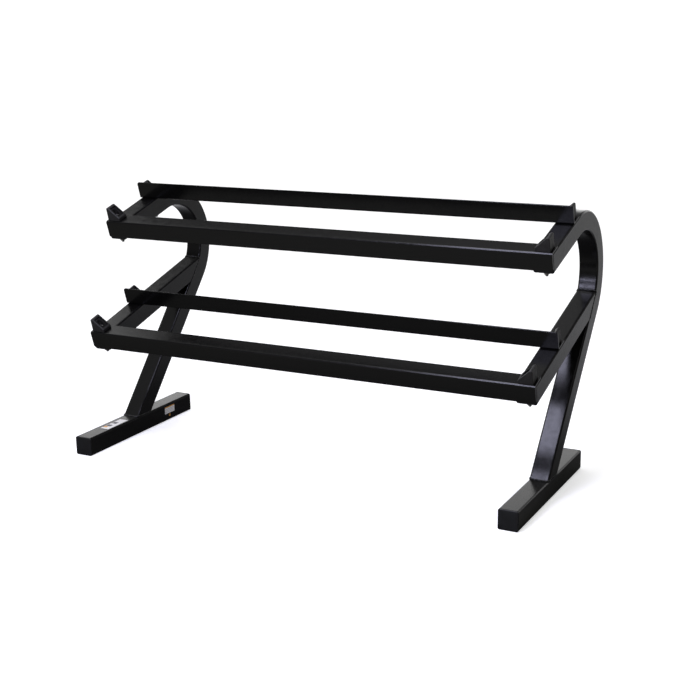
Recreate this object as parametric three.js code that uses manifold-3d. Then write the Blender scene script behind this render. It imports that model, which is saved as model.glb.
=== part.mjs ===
// Two-tier dumbbell rack: two welded end frames of square tube, joined by four folded
// angle rails, which are bolted down to the frames' arms through rubber end stops.
// Millimetres; +X runs along the rails, +Y to the rear and +Z up. The origin is on the
// floor, under the middle of the rack's width and depth.
import * as THREE from "three";
import { mergeVertices } from "three/addons/utils/BufferGeometryUtils.js";
import Module from "manifold-3d";

const wasm = await Module();
wasm.setup();

// ---- Driving dimensions ----
const WIDTH = 1320; // over the two end frames, and each rail's length
const GAP = 0.3; // between pieces that touch
const TUBE = { side: 52.5, wall: 2, radius: 5 };
const FOOT_LENGTH = 494; // with its two plugs
const LEG = { y: 9.4, angle: 49.5 }; // centreline on the foot's top, degrees above level
const BEND = { radius: 151.5, steps: 18 };
const TILT = THREE.MathUtils.degToRad(16.6); // the arms rise to the rear
// A tier's y and z are its front rail's folded edge; spacing runs to the rear rail's face.
const TIERS = {
  upper: { y: -52.7, z: 636.6, spacing: 174 },
  lower: { y: -152.7, z: 334.8, spacing: 182 },
};
const RAIL = { leg: 49, wall: 4, bend: 5, corner: 6 };
const BOLT = { diameter: 8, length: 80, chamfer: 1, hole: 9, fromEnd: 25, fromFace: 23 };
const HEAD = { diameter: 14, height: 4.4, socket: 5, socketDepth: 2.6 };
const WASHER = { diameter: 15, thickness: 1.4 };
const NUT = { flats: 13, height: 8 };
const STOP = { inset: 6, width: 39, depth: 35, high: 37.5, low: 8, peak: 3, edge: 1.5 };
const PANEL = { border: 4, depth: 5, corner: 3 }; // sunk into an end stop's slope
const COUNTERBORE = { diameter: 16, floor: 7 };
const PLUG = { head: 5, edge: 2, wall: 2, footDepth: 18, armDepth: 8 };
const LABEL = { thickness: 0.3, corner: 2 };
const TOP_LABEL = { x: -628, y: -111, width: 28, length: 92 };
const SIDE_LABEL = { y: 134, z: 33, length: 49, height: 22 };
const DOT_LABEL = { y: 133, z: 15.5, diameter: 9.5 };

const CORNER_STEPS = 1; // curve segments: an arc takes two faces for each
const ROUND_STEPS = 6;
const DOME_STEPS = 3; // on a bolt's head, from its rim to its top
const REACH = 2000; // longer than any piece, for shapes that only cut

// ---- Materials ----
const finish = (color, roughness, metalness) =>
  new THREE.MeshStandardMaterial({ color, roughness, metalness });
const frameCoat = finish(0x17171a, 0.42, 0.3);
const railCoat = finish(0x141416, 0.38, 0.3);
const stopRubber = finish(0x1d1d1d, 0.7, 0);
const plugPlastic = finish(0x151516, 0.55, 0);
const fastenerSteel = finish(0x4a4a4c, 0.35, 0.9);
const labelFilm = finish(0xe9e8e2, 0.5, 0);
const dotFilm = finish(0xd89a2b, 0.5, 0);

// ---- Solids ----
function toSolid(geometry) {
  const bare = geometry.clone().deleteAttribute("normal").deleteAttribute("uv");
  const merged = mergeVertices(bare, 1e-3);
  return new wasm.Manifold(
    new wasm.Mesh({
      numProp: 3,
      vertProperties: merged.attributes.position.array,
      triVerts: new Uint32Array(merged.index.array),
    }),
  );
}

function toGeometry(solid) {
  const mesh = solid.getMesh();
  const geometry = new THREE.BufferGeometry();
  geometry.setAttribute("position", new THREE.BufferAttribute(mesh.vertProperties, 3));
  geometry.setIndex(new THREE.BufferAttribute(mesh.triVerts, 1));
  geometry.computeVertexNormals();
  return geometry;
}

const cut = (geometry, ...tools) =>
  toGeometry(tools.reduce((solid, tool) => solid.subtract(toSolid(tool)), toSolid(geometry)));
const keep = (geometry, ...tools) =>
  toGeometry(tools.reduce((solid, tool) => solid.intersect(toSolid(tool)), toSolid(geometry)));
const join = (first, second) => toGeometry(toSolid(first).add(toSolid(second)));

// ---- Outlines ----
// A rectangle about (x, y), with its own radius at each corner, from the lower left
// corner anticlockwise.
function rectangle(x, y, width, height, radii) {
  const [left, right] = [x - width / 2, x + width / 2];
  const [low, high] = [y - height / 2, y + height / 2];
  const corners = [
    [left, low, 1, 1, Math.PI],
    [right, low, -1, 1, 1.5 * Math.PI],
    [right, high, -1, -1, 0],
    [left, high, 1, -1, 0.5 * Math.PI],
  ];
  const shape = new THREE.Shape();
  corners.forEach(([cx, cy, inX, inY, from], i) => {
    const r = radii[i];
    if (r === 0) {
      shape[i ? "lineTo" : "moveTo"](cx, cy);
    } else {
      shape.absarc(cx + inX * r, cy + inY * r, r, from, from + Math.PI / 2);
    }
  });
  return shape;
}

const square = (side, radius) => rectangle(0, 0, side, side, Array(4).fill(radius));

function circle(diameter) {
  const shape = new THREE.Shape();
  shape.absarc(0, 0, diameter / 2, 0, 2 * Math.PI);
  return shape;
}

const extrude = (shape, depth, options = {}) =>
  new THREE.ExtrudeGeometry(shape, {
    depth,
    bevelEnabled: false,
    curveSegments: CORNER_STEPS,
    ...options,
  });

// Options that round off an extrusion's two ends, inside its outline.
const bevelled = (edge) => ({
  bevelEnabled: true,
  bevelThickness: edge,
  bevelSize: edge,
  bevelOffset: -edge,
  bevelSegments: 1,
});

// Turns an extrusion's axes (x, y, along) into the given frame axes, in cyclic order.
function facing(geometry, x, y, along) {
  const axes = {
    X: new THREE.Vector3(1, 0, 0),
    Y: new THREE.Vector3(0, 1, 0),
    Z: new THREE.Vector3(0, 0, 1),
  };
  return geometry.applyMatrix4(new THREE.Matrix4().makeBasis(axes[x], axes[y], axes[along]));
}

// ---- The end frame's lines, in its plane ----
const heading = (angle) => new THREE.Vector2(Math.cos(angle), Math.sin(angle));
const leftOf = (angle) => heading(angle + Math.PI / 2);

// Where two lines meet, each given by a point and an angle, moved to its left by offset.
function meet(pointA, angleA, pointB, angleB, offset = 0) {
  const [nA, nB] = [leftOf(angleA), leftOf(angleB)];
  const [dA, dB] = [nA.dot(pointA) + offset, nB.dot(pointB) + offset];
  const det = nA.cross(nB);
  return new THREE.Vector2((dA * nB.y - dB * nA.y) / det, (nA.x * dB - nB.x * dA) / det);
}

// A tier's own frame: x as the rack's, y to the rear along the tilt, z square to the
// rails' upper faces, which are at z = 0.
function tierMatrix({ y, z }) {
  const matrix = new THREE.Matrix4().makeRotationX(TILT);
  return matrix.setPosition(0, y, z);
}

// A point of a tier's frame in the end frame's plane.
function inPlane(tier, along, above) {
  const point = new THREE.Vector3(0, along, above).applyMatrix4(tierMatrix(tier));
  return new THREE.Vector2(point.y, point.z);
}

const armAxis = -RAIL.wall - GAP - TUBE.side / 2; // below the rails' upper faces
const armStart = RAIL.wall + GAP + PLUG.head + GAP; // behind the front rail's face
const legAngle = THREE.MathUtils.degToRad(LEG.angle);
const legFoot = new THREE.Vector2(LEG.y, TUBE.side);
const armEnd = inPlane(TIERS.upper, armStart, armAxis);
const armAngle = Math.PI + TILT;
const bendCentre = meet(legFoot, legAngle, armEnd, armAngle, BEND.radius);

// The upright's centreline: a straight leg, the bend, then a straight arm. Its spaced
// points are one at each end and one at each step of the bend.
class UprightLine extends THREE.Curve {
  constructor(start) {
    super();
    const turns = BEND.steps + 1;
    const sweep = armAngle - legAngle;
    this.stations = [{ point: start, angle: legAngle }];
    for (let i = 0; i < turns; i++) {
      const angle = legAngle + (sweep * i) / BEND.steps;
      const point = bendCentre.clone().addScaledVector(leftOf(angle), -BEND.radius);
      this.stations.push({ point, angle });
    }
    this.stations.push({ point: armEnd, angle: armAngle });
  }
  stationAt(u) {
    return this.stations[Math.round(u * (this.stations.length - 1))];
  }
  getPointAt(u) {
    const { point } = this.stationAt(u);
    return new THREE.Vector3(0, point.x, point.y);
  }
  getTangentAt(u) {
    const direction = heading(this.stationAt(u).angle);
    return new THREE.Vector3(0, direction.x, direction.y);
  }
}

const straight = (from, to) =>
  new THREE.LineCurve3(new THREE.Vector3(0, from.x, from.y), new THREE.Vector3(0, to.x, to.y));

function tubeAlong(extrudePath, steps) {
  const section = square(TUBE.side, TUBE.radius);
  section.holes.push(square(TUBE.side - 2 * TUBE.wall, TUBE.radius - TUBE.wall));
  return extrude(section, 0, { extrudePath, steps });
}

const uprightSteps = BEND.steps + 2;
const belowFoot = legFoot.clone().addScaledVector(heading(legAngle), -TUBE.side);

// The drill for one bolt's hole, along Z and centred on z = 0.
const boltHole = (length) =>
  extrude(circle(BOLT.hole), length, { curveSegments: ROUND_STEPS }).translate(0, 0, -length / 2);

// How far behind the front rail's face a tier's two rows of bolts stand.
const boltRows = (tier) => [BOLT.fromFace, tier.spacing + BOLT.fromFace];

// The bolts' holes through an arm, in the end frame's plane. That plane is half a tube in
// from the rail's end, so the holes are moved over to the bolts.
function armHoles(tier, side) {
  const shift = side * (TUBE.side / 2 - BOLT.fromEnd);
  return boltRows(tier).map((along) =>
    boltHole(2 * TUBE.side).translate(shift, along, armAxis).applyMatrix4(tierMatrix(tier)),
  );
}

function uprightTube(side) {
  const tube = tubeAlong(new UprightLine(belowFoot), uprightSteps);
  const foot = new THREE.BoxGeometry(REACH, REACH, REACH);
  foot.translate(0, 0, TUBE.side + GAP - REACH / 2);
  return cut(tube, foot, ...armHoles(TIERS.upper, side));
}

// The lower arm runs into the upright, and is coped to its front face.
function lowerArmTube(side) {
  const start = inPlane(TIERS.lower, armStart, armAxis);
  const end = meet(legFoot, legAngle, start, TILT);
  const tube = tubeAlong(straight(start, end), 1);
  const clearance = extrude(square(TUBE.side + 2 * GAP, TUBE.radius + GAP), 0, {
    extrudePath: new UprightLine(belowFoot),
    steps: uprightSteps,
  });
  return cut(tube, clearance, ...armHoles(TIERS.lower, side));
}

function footTube() {
  const half = FOOT_LENGTH / 2 - PLUG.head - GAP;
  const middle = TUBE.side / 2;
  return tubeAlong(straight(new THREE.Vector2(-half, middle), new THREE.Vector2(half, middle)), 1);
}

// A square plug: +Z points out of the tube, and z = 0 is the head's inner face.
function plug(depth) {
  const rim = bevelled(PLUG.edge);
  const head = extrude(square(TUBE.side, TUBE.radius), PLUG.head - PLUG.edge, rim);
  const inner = new THREE.BoxGeometry(REACH, REACH, REACH).translate(0, 0, -REACH / 2);
  const outside = TUBE.side - 2 * TUBE.wall - 2 * GAP;
  const outsideRadius = TUBE.radius - TUBE.wall - GAP;
  const skirt = square(outside, outsideRadius);
  skirt.holes.push(square(outside - 2 * PLUG.wall, outsideRadius - PLUG.wall / 2));
  const overlap = PLUG.head / 2;
  const body = extrude(skirt, depth + overlap).translate(0, 0, -depth);
  return join(cut(head, inner), body);
}

// A front rail in its tier's frame: its upper flange lies on the arms, and its other
// flange hangs down in front of them. A rear rail is the same one turned over.
function rail() {
  const { leg, wall, bend, corner } = RAIL;
  const section = new THREE.Shape();
  section.moveTo(leg, 0);
  section.absarc(bend, -bend, bend, Math.PI / 2, Math.PI);
  section.lineTo(0, -leg);
  section.lineTo(wall, -leg);
  section.absarc(bend, -bend, bend - wall, Math.PI, Math.PI / 2, true);
  section.lineTo(leg, -wall);
  const bar = facing(extrude(section, WIDTH), "Y", "Z", "X").translate(-WIDTH / 2, 0, 0);
  const plan = rectangle(0, 0, WIDTH, 2 * leg, [0, 0, corner, corner]);
  const planCut = extrude(plan, 2 * REACH).translate(0, 0, -REACH);
  const face = rectangle(0, 0, 2 * leg, WIDTH, [corner, 0, 0, corner]);
  const faceCut = facing(extrude(face, 2 * REACH), "Z", "X", "Y").translate(0, -REACH, 0);
  const holes = [-1, 1].map((side) =>
    boltHole(2 * leg).translate(side * (WIDTH / 2 - BOLT.fromEnd), BOLT.fromFace, 0),
  );
  return cut(keep(bar, planCut, faceCut), ...holes);
}

// An end stop, about its bolt's axis and standing on z = 0: a wedge that is high at its
// outer side, +X, with a panel sunk into its slope and a counterbore for the bolt's head.
function endStop() {
  const { inset, width, high, low, peak, edge } = STOP;
  const outer = BOLT.fromEnd - inset;
  const slopeTop = new THREE.Vector2(outer - 2 * peak, high);
  const slopeFoot = new THREE.Vector2(outer - width, low);
  const slopeStart = slopeTop.clone().lerp(slopeFoot, peak / width);
  const profile = new THREE.Shape();
  profile.moveTo(slopeFoot.x, 0);
  profile.lineTo(outer, 0);
  profile.lineTo(outer, high - peak);
  profile.quadraticCurveTo(outer, high, outer - peak, high);
  profile.quadraticCurveTo(slopeTop.x, slopeTop.y, slopeStart.x, slopeStart.y);
  profile.lineTo(slopeFoot.x, low);
  const wedge = extrude(profile, STOP.depth - 2 * edge, bevelled(edge));
  wedge.rotateX(Math.PI / 2).translate(0, STOP.depth / 2 - edge, 0);

  const slope = slopeTop.clone().sub(slopeFoot);
  const middle = slopeTop.clone().lerp(slopeFoot, 0.5);
  const [length, breadth] = [slope.length(), STOP.depth].map((size) => size - 2 * PANEL.border);
  const outline = rectangle(0, 0, length, breadth, Array(4).fill(PANEL.corner));
  const panel = extrude(outline, high).translate(0, 0, -PANEL.depth);
  panel.rotateY(-slope.angle()).translate(middle.x, 0, middle.y);
  const counterbore = extrude(circle(COUNTERBORE.diameter), high, { curveSegments: ROUND_STEPS });
  counterbore.translate(0, 0, COUNTERBORE.floor);
  return cut(wedge, panel, counterbore, boltHole(2 * high));
}

// A button-head bolt with its head's underside at z = 0.
function buttonBolt() {
  const radius = BOLT.diameter / 2;
  const dome = Array.from({ length: DOME_STEPS + 1 }, (_, i) => {
    const rise = (i / DOME_STEPS) * (Math.PI / 2);
    return [(HEAD.diameter / 2) * Math.cos(rise), HEAD.height * Math.sin(rise)];
  });
  const profile = [
    [0, -BOLT.length],
    [radius - BOLT.chamfer, -BOLT.length],
    [radius, BOLT.chamfer - BOLT.length],
    [radius, 0],
    ...dome,
  ].map(([x, y]) => new THREE.Vector2(x, y));
  const body = new THREE.LatheGeometry(profile, 2 * ROUND_STEPS).rotateX(Math.PI / 2);
  const socketRadius = HEAD.socket / Math.sqrt(3);
  const socket = new THREE.CylinderGeometry(socketRadius, socketRadius, 2 * HEAD.socketDepth, 6);
  socket.rotateX(Math.PI / 2).translate(0, 0, HEAD.height);
  return cut(body, socket);
}

// Washers and nuts hang from z = 0 downwards.
function ring(outline, thickness) {
  outline.holes.push(circle(BOLT.diameter + 2 * GAP));
  return extrude(outline, thickness, { curveSegments: ROUND_STEPS }).translate(0, 0, -thickness);
}

function hexagon(flats) {
  const corners = Array.from({ length: 6 }, (_, i) =>
    heading((i * Math.PI) / 3).multiplyScalar(flats / Math.sqrt(3)),
  );
  return new THREE.Shape(corners);
}

// ---- Assembly ----
function node(name, geometry, material, parent) {
  const mesh = new THREE.Mesh(geometry, material);
  mesh.name = name;
  parent.add(mesh);
  return mesh;
}

const rack = new THREE.Group();
const rearmost = bendCentre.x + BEND.radius + TUBE.side / 2;
rack.position.y = (FOOT_LENGTH / 2 - rearmost) / 2;

const footPlug = plug(PLUG.footDepth);
const armPlug = plug(PLUG.armDepth);
const railGeometry = rail();
const stopGeometry = endStop();
const boltGeometry = buttonBolt();
const washerGeometry = ring(circle(WASHER.diameter), WASHER.thickness);
const nutGeometry = ring(hexagon(NUT.flats), NUT.height);
const sides = { left: -1, right: 1 };

for (const [name, side] of Object.entries(sides)) {
  const frame = new THREE.Group();
  frame.position.x = side * (WIDTH / 2 - TUBE.side / 2);
  rack.add(frame);
  node(`${name}_foot_tube`, footTube(), frameCoat, frame);
  node(`${name}_upright_tube`, uprightTube(side), frameCoat, frame);
  node(`${name}_lower_arm_tube`, lowerArmTube(side), frameCoat, frame);
  for (const [end, way] of [["front", -1], ["rear", 1]]) {
    const cap = node(`${name}_foot_${end}_plug`, footPlug, plugPlastic, frame);
    cap.position.set(0, way * (FOOT_LENGTH / 2 - PLUG.head), TUBE.side / 2);
    cap.rotation.x = (-way * Math.PI) / 2;
  }
}

for (const [level, tier] of Object.entries(TIERS)) {
  const shelf = new THREE.Group();
  shelf.applyMatrix4(tierMatrix(tier));
  rack.add(shelf);
  node(`${level}_front_rail`, railGeometry, railCoat, shelf);
  const rear = node(`${level}_rear_rail`, railGeometry, railCoat, shelf);
  rear.rotation.y = Math.PI;
  rear.position.set(0, tier.spacing, -RAIL.wall);

  for (const [name, side] of Object.entries(sides)) {
    const cap = node(`${name}_${level}_arm_plug`, armPlug, plugPlastic, shelf);
    const armMiddle = side * (WIDTH / 2 - TUBE.side / 2);
    cap.position.set(armMiddle, RAIL.wall + GAP + PLUG.head, armAxis);
    cap.rotation.x = Math.PI / 2;

    boltRows(tier).forEach((along, i) => {
      const place = `${name}_${level}_${["front", "rear"][i]}`;
      const column = new THREE.Group();
      column.position.set(side * (WIDTH / 2 - BOLT.fromEnd), along, 0);
      shelf.add(column);
      const stop = node(`${place}_end_stop`, stopGeometry, stopRubber, column);
      stop.position.z = GAP;
      stop.rotation.z = side > 0 ? 0 : Math.PI;
      const underArm = armAxis - TUBE.side / 2 - GAP;
      const bolt = node(`${place}_bolt`, boltGeometry, fastenerSteel, column);
      bolt.position.z = COUNTERBORE.floor + 2 * GAP;
      node(`${place}_washer`, washerGeometry, fastenerSteel, column).position.z = underArm;
      const nut = node(`${place}_nut`, nutGeometry, fastenerSteel, column);
      nut.position.z = underArm - WASHER.thickness - GAP;
    });
  }
}

// Blank adhesive labels on the left foot: one on its top, two on its inner side.
const blank = (width, height) =>
  extrude(rectangle(0, 0, width, height, Array(4).fill(LABEL.corner)), LABEL.thickness);
const dot = extrude(circle(DOT_LABEL.diameter), LABEL.thickness, { curveSegments: ROUND_STEPS });
const innerFace = TUBE.side + GAP - WIDTH / 2;
const topBlank = blank(TOP_LABEL.width, TOP_LABEL.length);
const topLabel = node("left_foot_top_label", topBlank, labelFilm, rack);
topLabel.position.set(TOP_LABEL.x, TOP_LABEL.y, TUBE.side + GAP);
const sideBlank = facing(blank(SIDE_LABEL.length, SIDE_LABEL.height), "Y", "Z", "X");
const sideLabel = node("left_foot_side_label", sideBlank, labelFilm, rack);
sideLabel.position.set(innerFace, SIDE_LABEL.y, SIDE_LABEL.z);
const dotLabel = node("left_foot_dot_label", facing(dot, "Y", "Z", "X"), dotFilm, rack);
dotLabel.position.set(innerFace, DOT_LABEL.y, DOT_LABEL.z);

export default rack;
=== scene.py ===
"""Two-tier dumbbell rack: the visual model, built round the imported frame.

Pieces are modelled in millimetres and scaled to metres as they are placed. +X runs along the
rails, +Y to the rear and +Z up.
"""
import math

import bmesh
import bpy
from mathutils import Matrix, Vector, noise


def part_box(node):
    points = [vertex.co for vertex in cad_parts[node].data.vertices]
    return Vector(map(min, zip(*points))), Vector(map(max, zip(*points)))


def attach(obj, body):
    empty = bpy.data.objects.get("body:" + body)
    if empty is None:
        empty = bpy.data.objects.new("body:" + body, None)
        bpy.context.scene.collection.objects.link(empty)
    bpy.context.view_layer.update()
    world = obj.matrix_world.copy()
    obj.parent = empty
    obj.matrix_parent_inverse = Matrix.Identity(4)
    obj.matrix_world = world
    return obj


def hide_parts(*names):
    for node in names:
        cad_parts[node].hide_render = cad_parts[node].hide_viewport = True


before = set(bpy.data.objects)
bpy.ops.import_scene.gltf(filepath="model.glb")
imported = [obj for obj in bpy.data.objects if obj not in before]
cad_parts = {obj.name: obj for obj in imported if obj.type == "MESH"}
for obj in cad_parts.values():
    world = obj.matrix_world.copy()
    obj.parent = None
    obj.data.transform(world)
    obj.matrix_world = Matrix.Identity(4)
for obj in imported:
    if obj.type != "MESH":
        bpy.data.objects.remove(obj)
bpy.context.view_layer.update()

# ---- Sizes of the pieces (mm) ----
MM = 0.001
GAP = 0.3  # between pieces that touch
TUBE, WALL, RADIUS = 52.5, 2, 5
LEG_AHEAD = 9.4  # the leg's centreline on the foot's top, behind the foot's middle
LEG_ANGLE = math.radians(49.5)
BEND, BEND_STEPS = 151.5, 48
RAIL_LEG, RAIL_WALL, RAIL_BEND, RAIL_CORNER, RAIL_TOE = 49, 4, 5, 6, 0.9
BOLT, BOLT_LENGTH, BOLT_HOLE, BOLT_FROM_FACE = 8, 80, 9, 23
THREAD_PITCH, THREAD_DEPTH, THREAD_LENGTH = 1.25, 0.62, 22
HEAD, HEAD_HEIGHT, SOCKET, SOCKET_DEPTH = 14, 4.4, 5, 2.6
WASHER, WASHER_THICKNESS = 15, 1.4
NUT_FLATS, NUT_HEIGHT = 13, 8
STOP_OUTER, STOP_WIDTH, STOP_DEPTH, STOP_HIGH, STOP_LOW = 19, 39, 35, 37.5, 8
STOP_CREST, STOP_ROUND = 6, 2.6  # the width of a stop's top, and the rounding of its ends
PANEL_BORDER, PANEL_SUNK = 4.6, 5  # the panel sunk into a stop's slope
COUNTERBORE, COUNTERBORE_FLOOR = 16, 7
PLUG_HEAD, PLUG_EDGE, PLUG_WALL, FOOT_SKIRT, ARM_SKIRT = 5, 2, 2, 18, 8
WELD_RADIUS, WELD_STEP, WELD_RIPPLE = 3, 0.55, 2.1
LABEL_THICKNESS = 0.3
CORNER_STEPS = 8
THROUGH = 80  # longer than any fitting, for shapes that only cut

ARM_AXIS = -RAIL_WALL - GAP - TUBE / 2  # from the rails' upper faces
ARM_START = RAIL_WALL + 2 * GAP + PLUG_HEAD  # behind the front rail's face
UNDER_ARM = ARM_AXIS - TUBE / 2 - GAP
SIDES = {"left": -1, "right": 1}
ROWS = ("front", "rear")


# ---- Outlines ----
def fillet(corners, steps=CORNER_STEPS):
    """An anticlockwise outline through (x, y, radius) corners, each rounded off.

    Gives its points, and for each how far it stands on an outer corner, 0 to 1.
    """
    points, outer_corner = [], []
    for i, (x, y, radius) in enumerate(corners):
        here = Vector((x, y))
        before = (Vector(corners[i - 1][:2]) - here).normalized()
        after = (Vector(corners[(i + 1) % len(corners)][:2]) - here).normalized()
        half = before.angle(after) / 2
        centre = here + (before + after).normalized() * (radius / math.sin(half))
        start = here + before * (radius / math.tan(half)) - centre
        end = here + after * (radius / math.tan(half)) - centre
        from_angle = math.atan2(start.y, start.x)
        turn = (math.atan2(end.y, end.x) - from_angle + math.pi) % math.tau - math.pi
        for k in range(steps + 1):
            angle = from_angle + turn * k / steps
            points.append(centre + Vector((math.cos(angle), math.sin(angle))) * radius)
            outer_corner.append(math.sin(math.pi * k / steps) if turn > 0 else 0)
    return points, outer_corner


def rectangle(width, height, radius, steps=CORNER_STEPS):
    x, y = width / 2, height / 2
    return fillet([(-x, -y, radius), (x, -y, radius), (x, y, radius), (-x, y, radius)], steps)


def square(side, radius):
    return rectangle(side, side, radius)


# ---- Meshes ----
def lofted(loops, outer_corner=None, ring=False):
    """A closed mesh through loops with equally many points.

    A ring's last loop is joined to its first; otherwise the first and last loops are capped.
    """
    bm = bmesh.new()
    layer = bm.verts.layers.float.new("outer_corner")
    rows = []
    for i, loop in enumerate(loops):
        row = [bm.verts.new(point) for point in loop]
        for j, vertex in enumerate(row):
            vertex[layer] = outer_corner[i][j] if outer_corner else 0
        rows.append(row)
    for a, b in zip(rows, rows[1:] + rows[:1] if ring else rows[1:]):
        for j in range(len(a)):
            k = (j + 1) % len(a)
            bm.faces.new((a[j], a[k], b[k], b[j]))
    if not ring:
        bm.faces.new(rows[0])
        bm.faces.new(rows[-1])
    bmesh.ops.recalc_face_normals(bm, faces=bm.faces)
    mesh = bpy.data.meshes.new("mesh")
    bm.to_mesh(mesh)
    bm.free()
    return mesh


def turned(profile, count=32):
    """Loops about Z from (radius, z) pairs; a radius may be a function of the angle."""
    loops = []
    for radius, z in profile:
        loop = []
        for i in range(count):
            angle = math.tau * i / count
            r = radius(angle) if callable(radius) else radius
            loop.append(Vector((r * math.cos(angle), r * math.sin(angle), z)))
        loops.append(loop)
    return loops


def with_modifiers(mesh, add_modifiers):
    """The mesh with the modifiers that the function adds to its object, applied."""
    bench = bpy.data.objects.new("bench", mesh)
    bpy.context.scene.collection.objects.link(bench)
    helpers = add_modifiers(bench) or []
    view = bpy.context.evaluated_depsgraph_get()
    result = bpy.data.meshes.new_from_object(bench.evaluated_get(view))
    for item in [bench, *helpers]:
        bpy.data.objects.remove(item)
    return result


def carved(mesh, *cutters):
    """The mesh less each of the cutters."""

    def add_modifiers(bench):
        helpers = []
        for cutter in cutters:
            tool = bpy.data.objects.new("tool", cutter)
            bpy.context.scene.collection.objects.link(tool)
            boolean = bench.modifiers.new("cut", "BOOLEAN")
            boolean.operation, boolean.solver, boolean.object = "DIFFERENCE", "EXACT", tool
            helpers.append(tool)
        return helpers

    return with_modifiers(mesh, add_modifiers)


def softened(mesh, width, segments):
    """The mesh with its edges of over 35 degrees rounded off."""

    def add_modifiers(bench):
        bevel = bench.modifiers.new("soften", "BEVEL")
        bevel.width, bevel.segments = width, segments
        bevel.limit_method, bevel.angle_limit = "ANGLE", math.radians(35)

    return with_modifiers(mesh, add_modifiers)


def drill(diameter, length, matrix=Matrix()):
    """A cutter about Z, centred on z = 0."""
    mesh = lofted(turned([(diameter / 2, -length / 2), (diameter / 2, length / 2)]))
    mesh.transform(matrix)
    return mesh


def piece(node, mesh, material, slot, matrix=Matrix(), replaces=True):
    """Places a mesh as a piece of the rack, in place of the CAD node unless replaces is False."""
    mesh = mesh.copy()
    mesh.transform(Matrix.Scale(MM, 4) @ matrix)
    mesh.shade_smooth()
    mesh.set_sharp_from_angle(angle=math.radians(32))
    mesh.materials.clear()
    mesh.materials.append(material)
    made = bpy.data.objects.new(f"{node}_fine" if replaces else node, mesh)
    bpy.context.scene.collection.objects.link(made)
    normals = made.modifiers.new("flat faces stay flat", "WEIGHTED_NORMAL")
    normals.keep_sharp = True
    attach(made, "root")
    if replaces:
        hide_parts(node)


# ---- Materials ----
class Nodes:
    """A node tree in the making; an input is a value or another node's output."""

    def __init__(self, tree, coordinates):
        self.tree = tree
        self.place = tree.nodes.new("ShaderNodeTexCoord").outputs[coordinates]

    def feed(self, socket, value):
        if isinstance(value, bpy.types.NodeSocket):
            self.tree.links.new(value, socket)
        else:
            socket.default_value = value

    def add(self, kind, inputs, **settings):
        made = self.tree.nodes.new(kind)
        for name, value in settings.items():
            setattr(made, name, value)
        for socket, value in inputs.items():
            self.feed(made.inputs[socket], value)
        return made.outputs[0]

    def ramp(self, value, low, high, at=(0, 1), curve="LINEAR"):
        """Maps value from the range at to low...high."""
        limits = {"From Min": at[0], "From Max": at[1], "To Min": low, "To Max": high}
        return self.add("ShaderNodeMapRange", {"Value": value, **limits}, interpolation_type=curve)

    def maths(self, operation, first, second):
        return self.add("ShaderNodeMath", {0: first, 1: second}, operation=operation)

    def axes(self):
        """The x, y and z of the place, under their capital names."""
        made = self.tree.nodes.new("ShaderNodeSeparateXYZ")
        self.tree.links.new(self.place, made.inputs[0])
        return made.outputs


class Shader(Nodes):
    """A node material in the making, on a Principled BSDF."""

    def __init__(self, name, **values):
        self.material = bpy.data.materials.new(name)
        self.material.use_nodes = True
        super().__init__(self.material.node_tree, "Object")
        self.principled = self.tree.nodes["Principled BSDF"]
        for socket, value in values.items():
            self.principled.inputs[socket.replace("_", " ")].default_value = value

    def noise(self, size, detail=2, roughness=0.5):
        """Noise whose features are about size mm across."""
        return self.add(
            "ShaderNodeTexNoise",
            {"Vector": self.place, "Scale": 1 / (size * MM), "Detail": detail, "Roughness": roughness},
        )

    def blend(self, factor, first, second):
        """A colour between two others, each a colour or an output."""
        made = self.tree.nodes.new("ShaderNodeMix")
        made.data_type = "RGBA"
        colours = [s for s in made.inputs if s.type == "RGBA"]
        for socket, value in zip([made.inputs["Factor"], *colours], (factor, first, second)):
            self.feed(socket, value)
        return next(s for s in made.outputs if s.type == "RGBA")

    def attribute(self, name):
        made = self.tree.nodes.new("ShaderNodeAttribute")
        made.attribute_name = name
        return made.outputs["Fac"]

    def bump(self, *layers):
        """Stacks (height, depth in mm) layers of relief."""
        normal = None
        for height, depth in layers:
            inputs = {"Height": height, "Distance": depth * MM, "Strength": 1}
            if normal:
                inputs["Normal"] = normal
            normal = self.add("ShaderNodeBump", inputs)
        self.set("Normal", normal)

    def set(self, socket, value):
        self.tree.links.new(value, self.principled.inputs[socket])


def grey(level, warmth=0.0):
    return (level * (1 + warmth), level, level * (1 - warmth), 1)


def powder_coat(name, level, roughness):
    """Semi-gloss black powder coat: a fine orange peel, thinner and paler on the corners."""
    shader = Shader(name, IOR=1.4)
    cloud = shader.noise(90, detail=4)
    speck = shader.noise(1.1, detail=3)
    base = shader.blend(cloud, grey(0.8 * level, 0.05), grey(1.2 * level))
    worn = shader.maths("MULTIPLY", shader.attribute("outer_corner"), shader.ramp(speck, 0, 1, (0.45, 0.75)))
    faint = shader.maths("MULTIPLY", worn, shader.ramp(shader.noise(35), 0, 0.7, (0.45, 0.7)))
    shader.set("Base Color", shader.blend(faint, base, grey(5 * level)))
    streak = shader.noise(14, detail=5, roughness=0.6)
    uneven = shader.ramp(streak, roughness - 0.05, roughness + 0.05, (0.3, 0.7))
    shader.set("Roughness", uneven)
    shader.bump((shader.noise(2.6, detail=1), 0.03), (shader.noise(0.5, detail=2), 0.006))
    return shader.material


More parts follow.
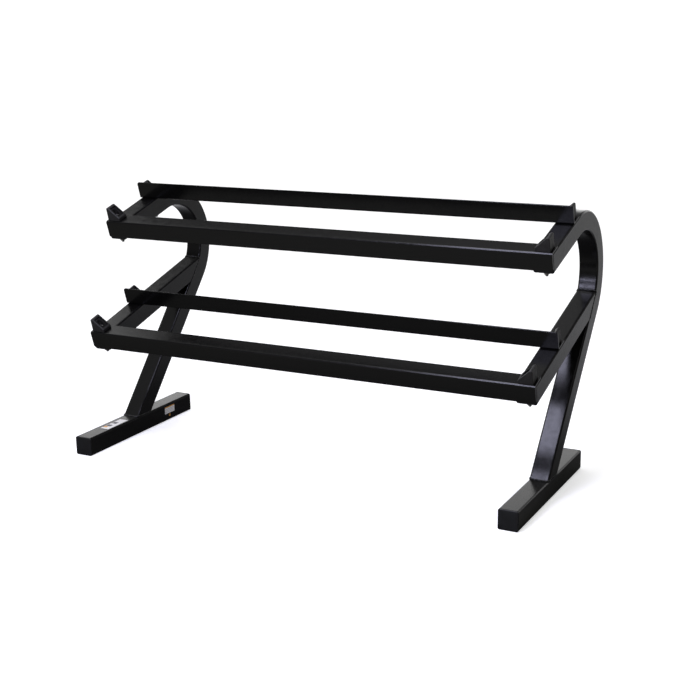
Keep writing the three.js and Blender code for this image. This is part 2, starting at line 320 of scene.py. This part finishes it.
def rubber(name):
    """Matt moulded rubber, slightly mottled; greyer on its outer edges, partly rubbing and partly a
    painted highlight where the rims catch the light; its reflection turned down in the recess as
    painted shade.
    """
    shader = Shader(name, IOR=1.4)
    mottle = shader.noise(9, detail=5, roughness=0.65)
    base = shader.blend(shader.ramp(mottle, 0, 1, (0.3, 0.7)), grey(0.005, 0.02), grey(0.013, 0.05))
    # Outer edges paler: partly rubbing, partly a painted highlight where the rims catch the light.
    rubbed_and_highlit = shader.maths(
        "MULTIPLY", shader.attribute("outer_corner"), shader.ramp(shader.noise(3, 3), 0, 1, (0.35, 0.65))
    )
    shader.set("Base Color", shader.blend(rubbed_and_highlit, base, grey(0.026, 0.04)))
    shader.set("Roughness", shader.ramp(mottle, 0.4, 0.58, (0.3, 0.7)))
    # Reflection turned down in the sunk panel and counterbore: painted shade in the recess.
    shader.set("Specular IOR Level", shader.ramp(shader.attribute("recess"), 0.5, 0.04))
    shader.bump((shader.noise(0.9, detail=3), 0.05), (shader.noise(6, detail=2), 0.08))
    return shader.material


def moulded_plastic(name):
    """Matt moulded plastic with a spark-eroded grain."""
    shader = Shader(name, IOR=1.4)
    cloud = shader.noise(12, detail=4)
    shader.set("Base Color", shader.blend(cloud, grey(0.005), grey(0.009, -0.04)))
    shader.set("Roughness", shader.ramp(cloud, 0.42, 0.6, (0.3, 0.7)))
    grain = shader.add(
        "ShaderNodeTexVoronoi", {"Vector": shader.place, "Scale": 1 / (0.7 * MM)}, feature="F1"
    )
    shader.bump((grain, 0.03), (shader.noise(8), 0.05))
    return shader.material


def zinc_steel(name):
    """Dark zinc-plated steel, slightly blotched, with turning marks."""
    shader = Shader(name, Metallic=0.95)
    blotch = shader.noise(4, detail=5, roughness=0.7)
    shader.set("Base Color", shader.blend(blotch, grey(0.14, 0.05), grey(0.34, 0.03)))
    shader.set("Roughness", shader.ramp(blotch, 0.26, 0.48, (0.3, 0.7)))
    shader.bump((shader.noise(0.35, detail=2), 0.01))
    return shader.material


def film(name, base):
    """Satin adhesive film; base gives its colour from the shader."""
    shader = Shader(name, IOR=1.45)
    shader.set("Base Color", base(shader))
    shader.set("Roughness", shader.ramp(shader.noise(5, detail=3), 0.38, 0.52, (0.3, 0.7)))
    shader.bump((shader.noise(7, detail=2), 0.06))
    return shader.material


# ---- Where things stand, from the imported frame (mm) ----
def middle(node):
    low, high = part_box(node)
    return (low + high) / (2 * MM)


def heading(angle):
    return Vector((math.cos(angle), math.sin(angle)))


def left_of(angle):
    return heading(angle + math.pi / 2)


class Tier:
    """A tier's own frame: x as the rack's, y to the rear up its tilt, and z = 0 on its rails."""

    def __init__(self, level):
        front, rear = (middle(f"left_{level}_{row}_washer") for row in ROWS)
        along = (rear - front).normalized()
        up = Vector((1, 0, 0)).cross(along)
        washer = UNDER_ARM - WASHER_THICKNESS / 2
        origin = front - along * BOLT_FROM_FACE - up * washer
        self.level = level
        self.spacing = (rear - front).length
        self.tilt = math.atan2(along.z, along.y)
        self.matrix = Matrix.Translation((0, origin.y, origin.z)) @ Matrix.Rotation(
            self.tilt, 4, "X"
        )

    def in_plane(self, along, above):
        """A point's y and z."""
        return (self.matrix @ Vector((0, along, above))).yz

    def columns(self):
        """Each bolt's place: its side, row, and a matrix on the rails with +X outwards."""
        for side, way in SIDES.items():
            for i, row in enumerate(ROWS):
                x = middle(f"{side}_{self.level}_{row}_washer").x
                place = Matrix.Translation((x, BOLT_FROM_FACE + i * self.spacing, 0))
                turn = Matrix.Rotation(0 if way > 0 else math.pi, 4, "Z")
                yield side, row, self.matrix @ place @ turn


tiers = {level: Tier(level) for level in ("upper", "lower")}
foot_middle = middle("left_foot_tube")
foot_length = 2 * max(abs(v.y / MM - foot_middle.y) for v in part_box("left_foot_rear_plug"))
leg_foot = Vector((foot_middle.y + LEG_AHEAD, TUBE))
arm_end = tiers["upper"].in_plane(ARM_START, ARM_AXIS)
arm_angle = math.pi + tiers["upper"].tilt


def meet(point_a, angle_a, point_b, angle_b, offset):
    """Where two lines meet, once each is moved to its left by offset."""
    normals = Matrix((left_of(angle_a), left_of(angle_b)))
    reach = Vector((normals[0].dot(point_a) + offset, normals[1].dot(point_b) + offset))
    return normals.inverted() @ reach


bend_centre = meet(leg_foot, LEG_ANGLE, arm_end, arm_angle, BEND)
bend_start = bend_centre - left_of(LEG_ANGLE) * BEND


# ---- Tubes ----
def across(x, point, angle):
    """A station square across a tube: takes a section's point to the rack's frame."""
    up = left_of(angle)
    return lambda a, b: Vector((x + a, point.x + b * up.x, point.y + b * up.y))


def on_foot(x):
    """The station where the leg is cut level, just over its foot."""

    def place(a, b):
        start = leg_foot + left_of(LEG_ANGLE) * b
        point = start + heading(LEG_ANGLE) * ((TUBE + GAP - start.y) / math.sin(LEG_ANGLE))
        return Vector((x + a, point.x, point.y))

    return place


def on_upright(x, point, angle):
    """The station where a tube is coped to the upright's front face."""
    corner = RADIUS + GAP
    flat = TUBE / 2 - RADIUS

    def place(a, b):
        over = max(0, abs(a) - flat)
        clear = flat + math.sqrt(corner**2 - over**2)
        start = point + left_of(angle) * b
        ahead = heading(angle)
        up = left_of(LEG_ANGLE)
        run = (clear - up.dot(start - leg_foot)) / up.dot(ahead)
        if (start + ahead * run - bend_start).dot(heading(LEG_ANGLE)) > 0:
            out = start - bend_centre
            half = out.dot(ahead)
            run = math.sqrt(half**2 - out.length_squared + (BEND - clear) ** 2) - half
        hit = start + ahead * run
        return Vector((x + a, hit.x, hit.y))

    return place


def tube(stations):
    outer, outer_corner = square(TUBE, RADIUS)
    inner, _ = square(TUBE - 2 * WALL, RADIUS - WALL)
    loops = [[place(*point) for point in outer] for place in stations]
    loops += [[place(*point) for point in inner] for place in reversed(stations)]
    plain = [0] * len(outer_corner)
    return lofted(loops, [outer_corner] * len(stations) + [plain] * len(stations), ring=True), loops


def bolt_drills(tier, side):
    """Cutters for the bolts' holes through one arm."""
    return [
        drill(BOLT_HOLE, 2 * TUBE, place @ Matrix.Translation((0, 0, ARM_AXIS)))
        for at_side, _, place in tier.columns()
        if at_side == side
    ]


def weld(path):
    """A rippled bead laid along a closed path, sunk in where it lies flush with a side."""
    points = []
    for a, b in zip(path, path[1:] + path[:1]):
        count = max(1, round((b - a).length / WELD_STEP))
        points += [a.lerp(b, k / count) for k in range(count)]
    centre = sum(points, Vector()) / len(points)
    loops, sides = [], 10
    for i, point in enumerate(points):
        along = (points[(i + 1) % len(points)] - points[i - 1]).normalized()
        inward = centre - point
        inward = (inward - along * inward.dot(along)).normalized()
        beside = along.cross(inward)
        flush = abs(inward.x)
        wander = noise.noise(point / 7) * 0.35
        heart = point + inward * (flush * 1.7 - 0.2 + wander)
        ripple = abs(math.sin(math.pi * i * WELD_STEP / WELD_RIPPLE))
        size = WELD_RADIUS * (0.86 + 0.16 * ripple + 0.2 * noise.noise(point / 4))
        loops.append([
            heart + (inward * math.cos(t) + beside * math.sin(t)) * size
            for t in (math.tau * k / sides for k in range(sides))
        ])
    return lofted(loops, ring=True)


# ---- Rails ----
def rail_section(toe):
    """The angle's outline, as (along, above) points, with its legs cut short by toe."""
    end, e = RAIL_LEG - toe, RAIL_TOE
    return fillet([
        (end, 0, e),
        (0, 0, RAIL_BEND),
        (0, -end, e),
        (RAIL_WALL, -end, e),
        (RAIL_WALL, -RAIL_WALL, RAIL_BEND - RAIL_WALL),
        (end, -RAIL_WALL, e),
    ], 6)


def rail(width):
    """A front rail: one leg lies on the arms, and the other hangs down in front of them.

    The rear rail is the same one turned over end for end.
    """
    turns = [math.radians(90 - 15 * k) for k in range(7)]
    ends = [(RAIL_CORNER * (1 - math.sin(t)), RAIL_CORNER * (1 - math.cos(t))) for t in turns]
    stations = [(-width / 2 + x, toe) for x, toe in ends]
    stations += [(width / 2 - x, toe) for x, toe in reversed(ends)]
    loops, outer_corner = [], []
    for x, toe in stations:
        points, worn = rail_section(toe)
        loops.append([Vector((x, point.x, point.y)) for point in points])
        outer_corner.append(worn)
    return lofted(loops, outer_corner)


# ---- Fittings ----
def end_stop():
    """A rubber wedge on z = 0 about its bolt's axis, high at its outer side, +X.

    Its recess attribute is 1 in the sunk panel and the counterbore, and 0 elsewhere.
    """
    inner = STOP_OUTER - STOP_WIDTH
    ridge = STOP_OUTER - STOP_CREST
    corners = [
        (inner, 0, 0.6),
        (STOP_OUTER, 0, 0.6),
        (STOP_OUTER, STOP_HIGH, 3.2),
        (ridge, STOP_HIGH, 5),
        (inner, STOP_LOW, 2.5),
    ]
    outline, outer_corner = fillet(corners)
    half = STOP_DEPTH / 2
    loops, worn = [], []
    turns = [math.radians(90 * k / 6) for k in range(7)]
    stations = [
        (-half + STOP_ROUND * (1 - math.cos(t)), STOP_ROUND * (1 - math.sin(t))) for t in turns
    ]
    stations += [(-y, i) for y, i in reversed(stations)]
    count = len(outline)
    for y, shrink in stations:
        loop = []
        for k, point in enumerate(outline):
            tangent = outline[(k + 1) % count] - outline[k - 1]
            out = Vector((tangent.y, -tangent.x)).normalized()
            held = min(1, max(0, point.y) / 5)
            moved = point - out * shrink * held
            loop.append(Vector((moved.x, y, max(0, moved.y))))
        loops.append(loop)
        worn.append(outer_corner)
    wedge = lofted(loops, worn)

    top, foot = Vector((ridge, STOP_HIGH)), Vector((inner, STOP_LOW))
    slope = top - foot
    centre = (top + foot) / 2
    outline, _ = rectangle(slope.length - 2 * PANEL_BORDER, STOP_DEPTH - 2 * PANEL_BORDER, 3, 5)
    panel = lofted([[Vector((p.x, p.y, z)) for p in outline] for z in (-PANEL_SUNK, STOP_HIGH)])
    lean = math.atan2(slope.y, slope.x)
    panel.transform(Matrix.Translation((centre.x, 0, centre.y)) @ Matrix.Rotation(-lean, 4, "Y"))
    bore = COUNTERBORE / 2
    counterbore = lofted(turned([(bore, COUNTERBORE_FLOOR), (bore, THROUGH)]))
    stop = softened(carved(wedge, panel, counterbore, drill(BOLT_HOLE, THROUGH)), 0.7, 3)

    # The recess attribute marks where the rubber shader paints shade into the recess.
    recess = stop.attributes.new("recess", "FLOAT", "POINT")
    across_slope = Vector((slope.y, -slope.x)).normalized()
    for vertex, deep in zip(stop.vertices, recess.data):
        x, y, z = vertex.co
        within = abs(y) < half - PANEL_BORDER + 0.1 and x < ridge - 2 and z > COUNTERBORE_FLOOR - 1
        under = abs((vertex.co.xz - foot).dot(across_slope))
        deep.value = 1 if within and 0.4 < under < PANEL_SUNK + 12 else 0
    return stop


def hexagon(flats):
    """A hexagon's radius at each angle."""
    return lambda angle: flats / 2 / math.cos(angle % (math.pi / 3) - math.pi / 6)


def bolt():
    """A button-head bolt with a hexagon socket; its head's underside is at z = 0."""
    radius, per_turn, chamfer = BOLT / 2, 6, 0.9

    def thread(z):
        def at(angle):
            phase = (z / THREAD_PITCH - angle / math.tau) % 1
            cut = THREAD_DEPTH * (1 - abs(2 * phase - 1))
            tip = radius - chamfer + (z + BOLT_LENGTH)
            return min(radius - cut, tip)

        return at

    steps = round(THREAD_LENGTH / THREAD_PITCH * per_turn)
    profile = [(thread(z), z) for z in (
        THREAD_PITCH / per_turn * k - BOLT_LENGTH for k in range(steps + 1)
    )]
    profile += [
        (radius, THREAD_LENGTH + 0.6 - BOLT_LENGTH),
        (radius, -0.5),
        (radius + 0.4, 0),
        (HEAD / 2 - 0.2, 0),
    ]
    flat, rim = 3.5, 0.3
    for k in range(9):
        turn = math.radians(90 * k / 8)
        reach = flat + (HEAD / 2 - flat) * math.cos(turn)
        profile.append((reach, rim + (HEAD_HEIGHT - rim) * math.sin(turn)))
    profile += [
        (hexagon(SOCKET + 0.5), HEAD_HEIGHT),
        (hexagon(SOCKET), HEAD_HEIGHT - 0.3),
        (hexagon(SOCKET), HEAD_HEIGHT - SOCKET_DEPTH),
    ]
    return lofted(turned(profile, 36))


def washer():
    """Hangs from z = 0 downwards."""
    outer, inner, edge = WASHER / 2, BOLT / 2 + GAP, 0.2
    under = -WASHER_THICKNESS
    return lofted(turned([
        (inner, -edge), (inner + edge, 0), (outer - edge, 0), (outer, -edge),
        (outer, under + edge), (outer - edge, under), (inner + edge, under), (inner, under + edge),
    ], 48), ring=True)


def nut():
    """A hexagon nut that hangs from z = 0 downwards, its corners turned off at both ends."""
    flats = hexagon(NUT_FLATS)

    def turned_off(depth):
        return lambda angle: min(flats(angle), 0.49 * NUT_FLATS + depth * math.sqrt(3))

    depths = [0.15 * k for k in range(6)]
    bore = BOLT / 2 + GAP
    profile = [(bore, -0.7), (bore + 0.6, 0)]
    profile += [(turned_off(depth), -depth) for depth in depths]
    profile += [(turned_off(depth), depth - NUT_HEIGHT) for depth in reversed(depths)]
    profile += [(bore + 0.6, -NUT_HEIGHT), (bore, 0.7 - NUT_HEIGHT)]
    return lofted(turned(profile, 72), ring=True)


def plug(depth):
    """A square plug: +Z points out of the tube, and z = 0 is the head's inner face."""
    outside = TUBE - 2 * WALL - 2 * GAP
    hollow = outside - 2 * PLUG_WALL
    corner = RADIUS - WALL - GAP
    crown = 0.2

    # (side, corner's radius, z): over the domed head, down the skirt's outside and up its inside
    levels = [(TUBE - 26, 3, PLUG_HEAD), (TUBE - 12, 3, PLUG_HEAD - crown / 3)]
    for k in range(6):
        turn = math.radians(90 * k / 5)
        side = TUBE - 2 * PLUG_EDGE * (1 - math.sin(turn))
        level = PLUG_HEAD - crown - PLUG_EDGE * (1 - math.cos(turn))
        levels.append((side, RADIUS - PLUG_EDGE * (1 - math.sin(turn)), level))
    levels += [
        (TUBE, RADIUS, 0.3),
        (TUBE - 0.6, RADIUS - 0.3, 0),
        (outside, corner, 0),
        (outside, corner, 1 - depth),
        (outside - 1, corner - 0.5, -depth),
        (hollow, corner - 1, -depth),
        (hollow, corner - 1, 1),
    ]
    loops, outer_corner = [], []
    for side, radius, z in levels:
        points, worn = square(side, radius)
        loops.append([Vector((p.x, p.y, z)) for p in points])
        outer_corner.append([w if 0 < z < PLUG_HEAD - crown else 0 for w in worn])
    return lofted(loops, outer_corner)


# ---- Assembly ----
# The coats' own colour is nearly black: what the photo shows on them is nearly all reflection.
frame_coat = powder_coat("frame powder coat", 0.0025, 0.21)
# The rail coat is the frame's coat made a little darker: painted shade for the rails' dark front
# faces.
rail_coat = powder_coat("rail powder coat", 0.0022, 0.2)
stop_rubber = rubber("end stop rubber")
plug_plastic = moulded_plastic("plug plastic")
steel = zinc_steel("dark zinc-plated steel")

foot_plug, arm_plug = plug(FOOT_SKIRT), plug(ARM_SKIRT)
for side in SIDES:
    x = middle(f"{side}_foot_tube").x
    reach = foot_length / 2 - PLUG_HEAD - GAP
    ends = [Vector((foot_middle.y + way * reach, TUBE / 2)) for way in (-1, 1)]
    mesh, _ = tube([across(x, end, 0) for end in ends])
    piece(f"{side}_foot_tube", mesh, frame_coat, "frame_coat")

    stations = [on_foot(x)]
    for k in range(BEND_STEPS + 1):
        angle = LEG_ANGLE + (arm_angle - LEG_ANGLE) * k / BEND_STEPS
        stations.append(across(x, bend_centre - left_of(angle) * BEND, angle))
    stations.append(across(x, arm_end, arm_angle))
    mesh, loops = tube(stations)
    mesh = carved(mesh, *bolt_drills(tiers["upper"], side))
    piece(f"{side}_upright_tube", mesh, frame_coat, "frame_coat")
    piece(f"{side}_foot_weld", weld(loops[0]), frame_coat, "frame_coat", replaces=False)

    lower = tiers["lower"]
    start = lower.in_plane(ARM_START, ARM_AXIS)
    mesh, loops = tube([across(x, start, lower.tilt), on_upright(x, start, lower.tilt)])
    mesh = carved(mesh, *bolt_drills(lower, side))
    piece(f"{side}_lower_arm_tube", mesh, frame_coat, "frame_coat")
    piece(f"{side}_arm_weld", weld(loops[1]), frame_coat, "frame_coat", replaces=False)

    for row, way in zip(ROWS, (-1, 1)):
        y = foot_middle.y + way * (foot_length / 2 - PLUG_HEAD)
        place = Matrix.Translation((x, y, TUBE / 2)) @ Matrix.Rotation(-way * math.pi / 2, 4, "X")
        piece(f"{side}_foot_{row}_plug", foot_plug, plug_plastic, "plug_plastic", place)
    for level, tier in tiers.items():
        place = tier.matrix @ Matrix.Translation((x, RAIL_WALL + GAP + PLUG_HEAD, ARM_AXIS))
        place = place @ Matrix.Rotation(math.pi / 2, 4, "X")
        piece(f"{side}_{level}_arm_plug", arm_plug, plug_plastic, "plug_plastic", place)

low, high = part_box("upper_front_rail")
rail_length = (high.x - low.x) / MM
bolt_x = abs(middle("left_upper_front_washer").x)
holes = [
    drill(BOLT_HOLE, 40, Matrix.Translation((way * bolt_x, BOLT_FROM_FACE, 0))) for way in (-1, 1)
]
rail_mesh = carved(rail(rail_length), *holes)
stop_mesh, bolt_mesh, washer_mesh, nut_mesh = end_stop(), bolt(), washer(), nut()
for level, tier in tiers.items():
    piece(f"{level}_front_rail", rail_mesh, rail_coat, "rail_coat", tier.matrix)
    turned_over = Matrix.Translation((0, tier.spacing, -RAIL_WALL)) @ Matrix.Rotation(math.pi, 4, "Y")
    piece(f"{level}_rear_rail", rail_mesh, rail_coat, "rail_coat", tier.matrix @ turned_over)
    for side, row, place in tier.columns():
        name = f"{side}_{level}_{row}"
        fittings = [
            ("end_stop", stop_mesh, stop_rubber, "stop_rubber", GAP),
            ("bolt", bolt_mesh, steel, "fastener_steel", COUNTERBORE_FLOOR + 2 * GAP),
            ("washer", washer_mesh, steel, "fastener_steel", UNDER_ARM),
            ("nut", nut_mesh, steel, "fastener_steel", UNDER_ARM - WASHER_THICKNESS - GAP),
        ]
        for kind, mesh, material, slot, z in fittings:
            piece(f"{name}_{kind}", mesh, material, slot, place @ Matrix.Translation((0, 0, z)))


# ---- Labels on the left foot ----
def block(shader, axes, centre, size, soft=0.4):
    """1 inside a rectangle about centre on the two given axes (mm), 0 outside it."""
    along = shader.axes()
    inside = None
    for axis, at, width in zip(axes, centre, size):
        offset = shader.maths("SUBTRACT", along[axis], at * MM)
        away = shader.maths("ABSOLUTE", offset, 0)
        edge = shader.ramp(away, 1, 0, ((width / 2 - soft / 2) * MM, (width / 2 + soft / 2) * MM))
        inside = edge if inside is None else shader.maths("MULTIPLY", inside, edge)
    return inside


WHITE, AMBER, INK = (0.78, 0.77, 0.73, 1), (0.62, 0.3, 0.07, 1), (0.06, 0.06, 0.07, 1)


def top_label_colour(shader):
    centre = middle("left_foot_top_label")
    colour = shader.blend(shader.noise(20), WHITE, (0.7, 0.69, 0.65, 1))
    blocks = [
        (AMBER, (-9, -28), (13, 13)),
        (INK, (-5, -16), (15, 15)),
        (INK, (-5, 11), (15, 15)),
    ]
    for ink, (x, y), size in blocks:
        colour = shader.blend(block(shader, "XY", (centre.x + x, centre.y + y), size), colour, ink)
    return colour


def side_label_colour(shader):
    centre = middle("left_foot_side_label")
    colour = shader.blend(shader.noise(20), (0.93, 0.92, 0.89, 1), (0.86, 0.85, 0.82, 1))
    bars = [(AMBER, (0, 10.5), (60, 6))]
    bars += [((0.45, 0.45, 0.46, 1), (-2, 3 - 4.5 * k), (44 - 9 * (k % 2), 1.3)) for k in range(4)]
    for ink, (y, z), size in bars:
        colour = shader.blend(block(shader, "YZ", (centre.y + y, centre.z + z), size), colour, ink)
    return colour


def label_piece(node, material, slot, axes, corner):
    """A thin film in place of a CAD label, over the same face."""
    low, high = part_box(node)
    size = (high - low) / MM
    if axes == "XY":
        width, height, basis = size.x, size.y, Matrix()
    else:
        width, height, basis = size.y, size.z, Matrix(((0, 0, 1), (1, 0, 0), (0, 1, 0))).to_4x4()
    outline, _ = rectangle(width, height, corner, 6)
    film_mesh = lofted([[Vector((p.x, p.y, z)) for p in outline] for z in (0, LABEL_THICKNESS)])
    sunk = Matrix.Translation((0, 0, -LABEL_THICKNESS / 2))
    piece(node, film_mesh, material, slot, Matrix.Translation(middle(node)) @ basis @ sunk)


label_piece("left_foot_top_label", film("top label film", top_label_colour), "label_film", "XY", 2)
label_piece("left_foot_side_label", film("side label film", side_label_colour), "label_film", "YZ", 2)
amber = film("amber dot film", lambda s: s.blend(s.noise(3), AMBER, (0.7, 0.38, 0.1, 1)))
label_piece("left_foot_dot_label", amber, "dot_film", "YZ", 5.4)


# ---- Stage: the floors, the studio's light and the camera (m) ----
def disc(name, level):
    """A wide round floor that isn't part of the rack, with its face at the given level."""
    radius = 12
    turns = [math.tau * k / 96 for k in range(96)]
    rim = [(radius * math.cos(t), radius * math.sin(t)) for t in turns]
    mesh = lofted([[Vector((x, y, z)) for x, y in rim] for z in (level - 0.02, level)])
    made = bpy.data.objects.new(name, mesh)
    bpy.context.scene.collection.objects.link(made)
    return made


# The floor as seen is pale all over. The one that the rack's gloss mirrors, hidden from the camera,
# has painted shade: dark under the rack, brighter further out, most of all to the rear left, and
# warmer to the front.
floor = disc("floor", -0.0002)
pale = Shader("pale floor", Roughness=0.9, IOR=1.3, Emission_Color=grey(1), Emission_Strength=0.45)
pale.set("Base Color", pale.blend(pale.noise(400), (0.84, 0.84, 0.84, 1), (0.86, 0.86, 0.86, 1)))
floor.data.materials.append(pale.material)
floor.visible_diffuse = floor.visible_glossy = floor.visible_shadow = False

mirrored = disc("mirrored floor", -0.0004)
shaded = Shader("mirrored floor", Roughness=0.9, IOR=1.3)
ground = shaded.axes()
# Painted shade under the rack; painted light further out to the rear, stronger to the left.
shade = shaded.ramp(ground["Y"], 0.2, 0.08, (-0.6, -0.35))
leftward = shaded.ramp(ground["X"], 2.1, 1, (-1.2, -0.6))
for start, end, albedo in ((0.3, 0.8, 0.2), (0.8, 1.8, 0.25)):
    extra = shaded.maths("MULTIPLY", leftward, shaded.ramp(ground["Y"], 0, albedo, (start, end)))
    shade = shaded.maths("ADD", shade, extra)
tint = shaded.blend(shaded.ramp(ground["Y"], 1, 0, (-0.3, 0.3)), grey(1), (1, 1, 0.84, 1))
shaded.set("Base Color", shaded.blend(shade, grey(0), tint))
mirrored.data.materials.append(shaded.material)
mirrored.visible_camera = False

world = bpy.data.worlds.new("studio")
bpy.context.scene.world = world
world.use_nodes = True
sky = Nodes(world.node_tree, "Generated")
toward = sky.axes()
height = toward["Z"]


def fade(value, start, end, low, high):
    """Goes smoothly from low to high as value goes from start to end."""
    return sky.ramp(value, low, high, (start, end), "SMOOTHSTEP")


def both(first, second):
    return sky.maths("MULTIPLY", first, second)


# In gloss: a bright backdrop low in the rear that darkens to the right, a window high to the
# rear left, and a dim ceiling. To the camera the backdrop is plain white.
backdrop = sky.maths("ADD", fade(height, 0.38, 0.5, 1, 0), fade(height, 0.28, 0.31, 0.6, 0))
rearwards = both(fade(toward["Y"], -0.4, 0.35, 0.12, 1), fade(toward["X"], 0.3, 0.5, 1, 0.12))
leftwards = sky.maths("SUBTRACT", both(toward["X"], -1), both(toward["Y"], 0.84))
window = both(
    fade(leftwards, 0.11, 0.26, 0, 1.9),
    both(fade(height, 0.68, 0.8, 1, 0), fade(toward["Y"], -0.1, 0.25, 0, 1)),
)
ceiling = both(fade(height, 0.6, 0.72, 0.1, 0.4), fade(toward["X"], -0.15, 0.15, 1, 0.2))
glow = sky.maths("MAXIMUM", both(backdrop, rearwards), sky.maths("MAXIMUM", window, ceiling))
seen = sky.tree.nodes.new("ShaderNodeLightPath").outputs["Is Camera Ray"]
background = sky.tree.nodes["Background"]
background.inputs["Color"].default_value = (1, 1, 1, 1)
sky.feed(background.inputs["Strength"], sky.maths("MAXIMUM", glow, seen))


def softbox(name, location, target, width, height, radiance, colour, in_gloss=True):
    """A rectangular area light that faces its target, and may be left out of reflections.

    The radiance is in the units of the world's strength, whatever the size of the light.
    """
    lamp = bpy.data.lights.new(name, "AREA")
    lamp.shape, lamp.size, lamp.size_y = "RECTANGLE", width, height
    lamp.energy, lamp.color = radiance * math.pi * width * height, colour
    made = bpy.data.objects.new(name, lamp)
    made.location = location
    made.rotation_mode = "QUATERNION"
    made.rotation_quaternion = (Vector(location) - Vector(target)).to_track_quat("Z", "Y")
    made.visible_camera = False
    made.visible_glossy = in_gloss
    bpy.context.scene.collection.objects.link(made)


overhead = bpy.data.lights.new("overhead fill", "SUN")
overhead.energy, overhead.angle = 1.3, math.radians(50)
bpy.context.scene.collection.objects.link(bpy.data.objects.new("overhead fill", overhead))

NEUTRAL, VIOLET = (1, 1, 1), (0.76, 0.76, 1.0)
softbox("key softbox", (0.0, -0.82, 2.05), (0.1, -0.5, 0), 0.6, 1.3, 9, VIOLET)
softbox("front softbox", (-0.37, -3.1, 1.76), (0.6, 0.2, 0.5), 1.0, 1.25, 16, VIOLET)
softbox("side fill", (2.2, -1.2, 0.3), (-0.6, 0, 0), 1.2, 0.6, 5.5, NEUTRAL, in_gloss=False)

AIM = Vector((0.052, 0, 0.306))
DISTANCE, AZIMUTH, ELEVATION, ROLL = 3.414, math.radians(27.49), math.radians(14.48), -0.0123
back = Vector((
    math.sin(AZIMUTH) * math.cos(ELEVATION),
    -math.cos(AZIMUTH) * math.cos(ELEVATION),
    math.sin(ELEVATION),
))
lens = bpy.data.cameras.new("camera")
lens.sensor_width, lens.lens, lens.clip_end = 36, 64.07, 100
camera = bpy.data.objects.new("camera", lens)
camera.location = AIM + back * DISTANCE
right = Vector((math.cos(AZIMUTH), math.sin(AZIMUTH), 0))
up = back.cross(right)
columns = Matrix((
    right * math.cos(ROLL) + up * math.sin(ROLL),
    up * math.cos(ROLL) - right * math.sin(ROLL),
    back,
)).transposed()
camera.rotation_mode = "QUATERNION"
camera.rotation_quaternion = columns.to_quaternion()
bpy.context.scene.collection.objects.link(camera)
bpy.context.scene.camera = camera
bpy.context.scene.view_settings.view_transform = "Standard"
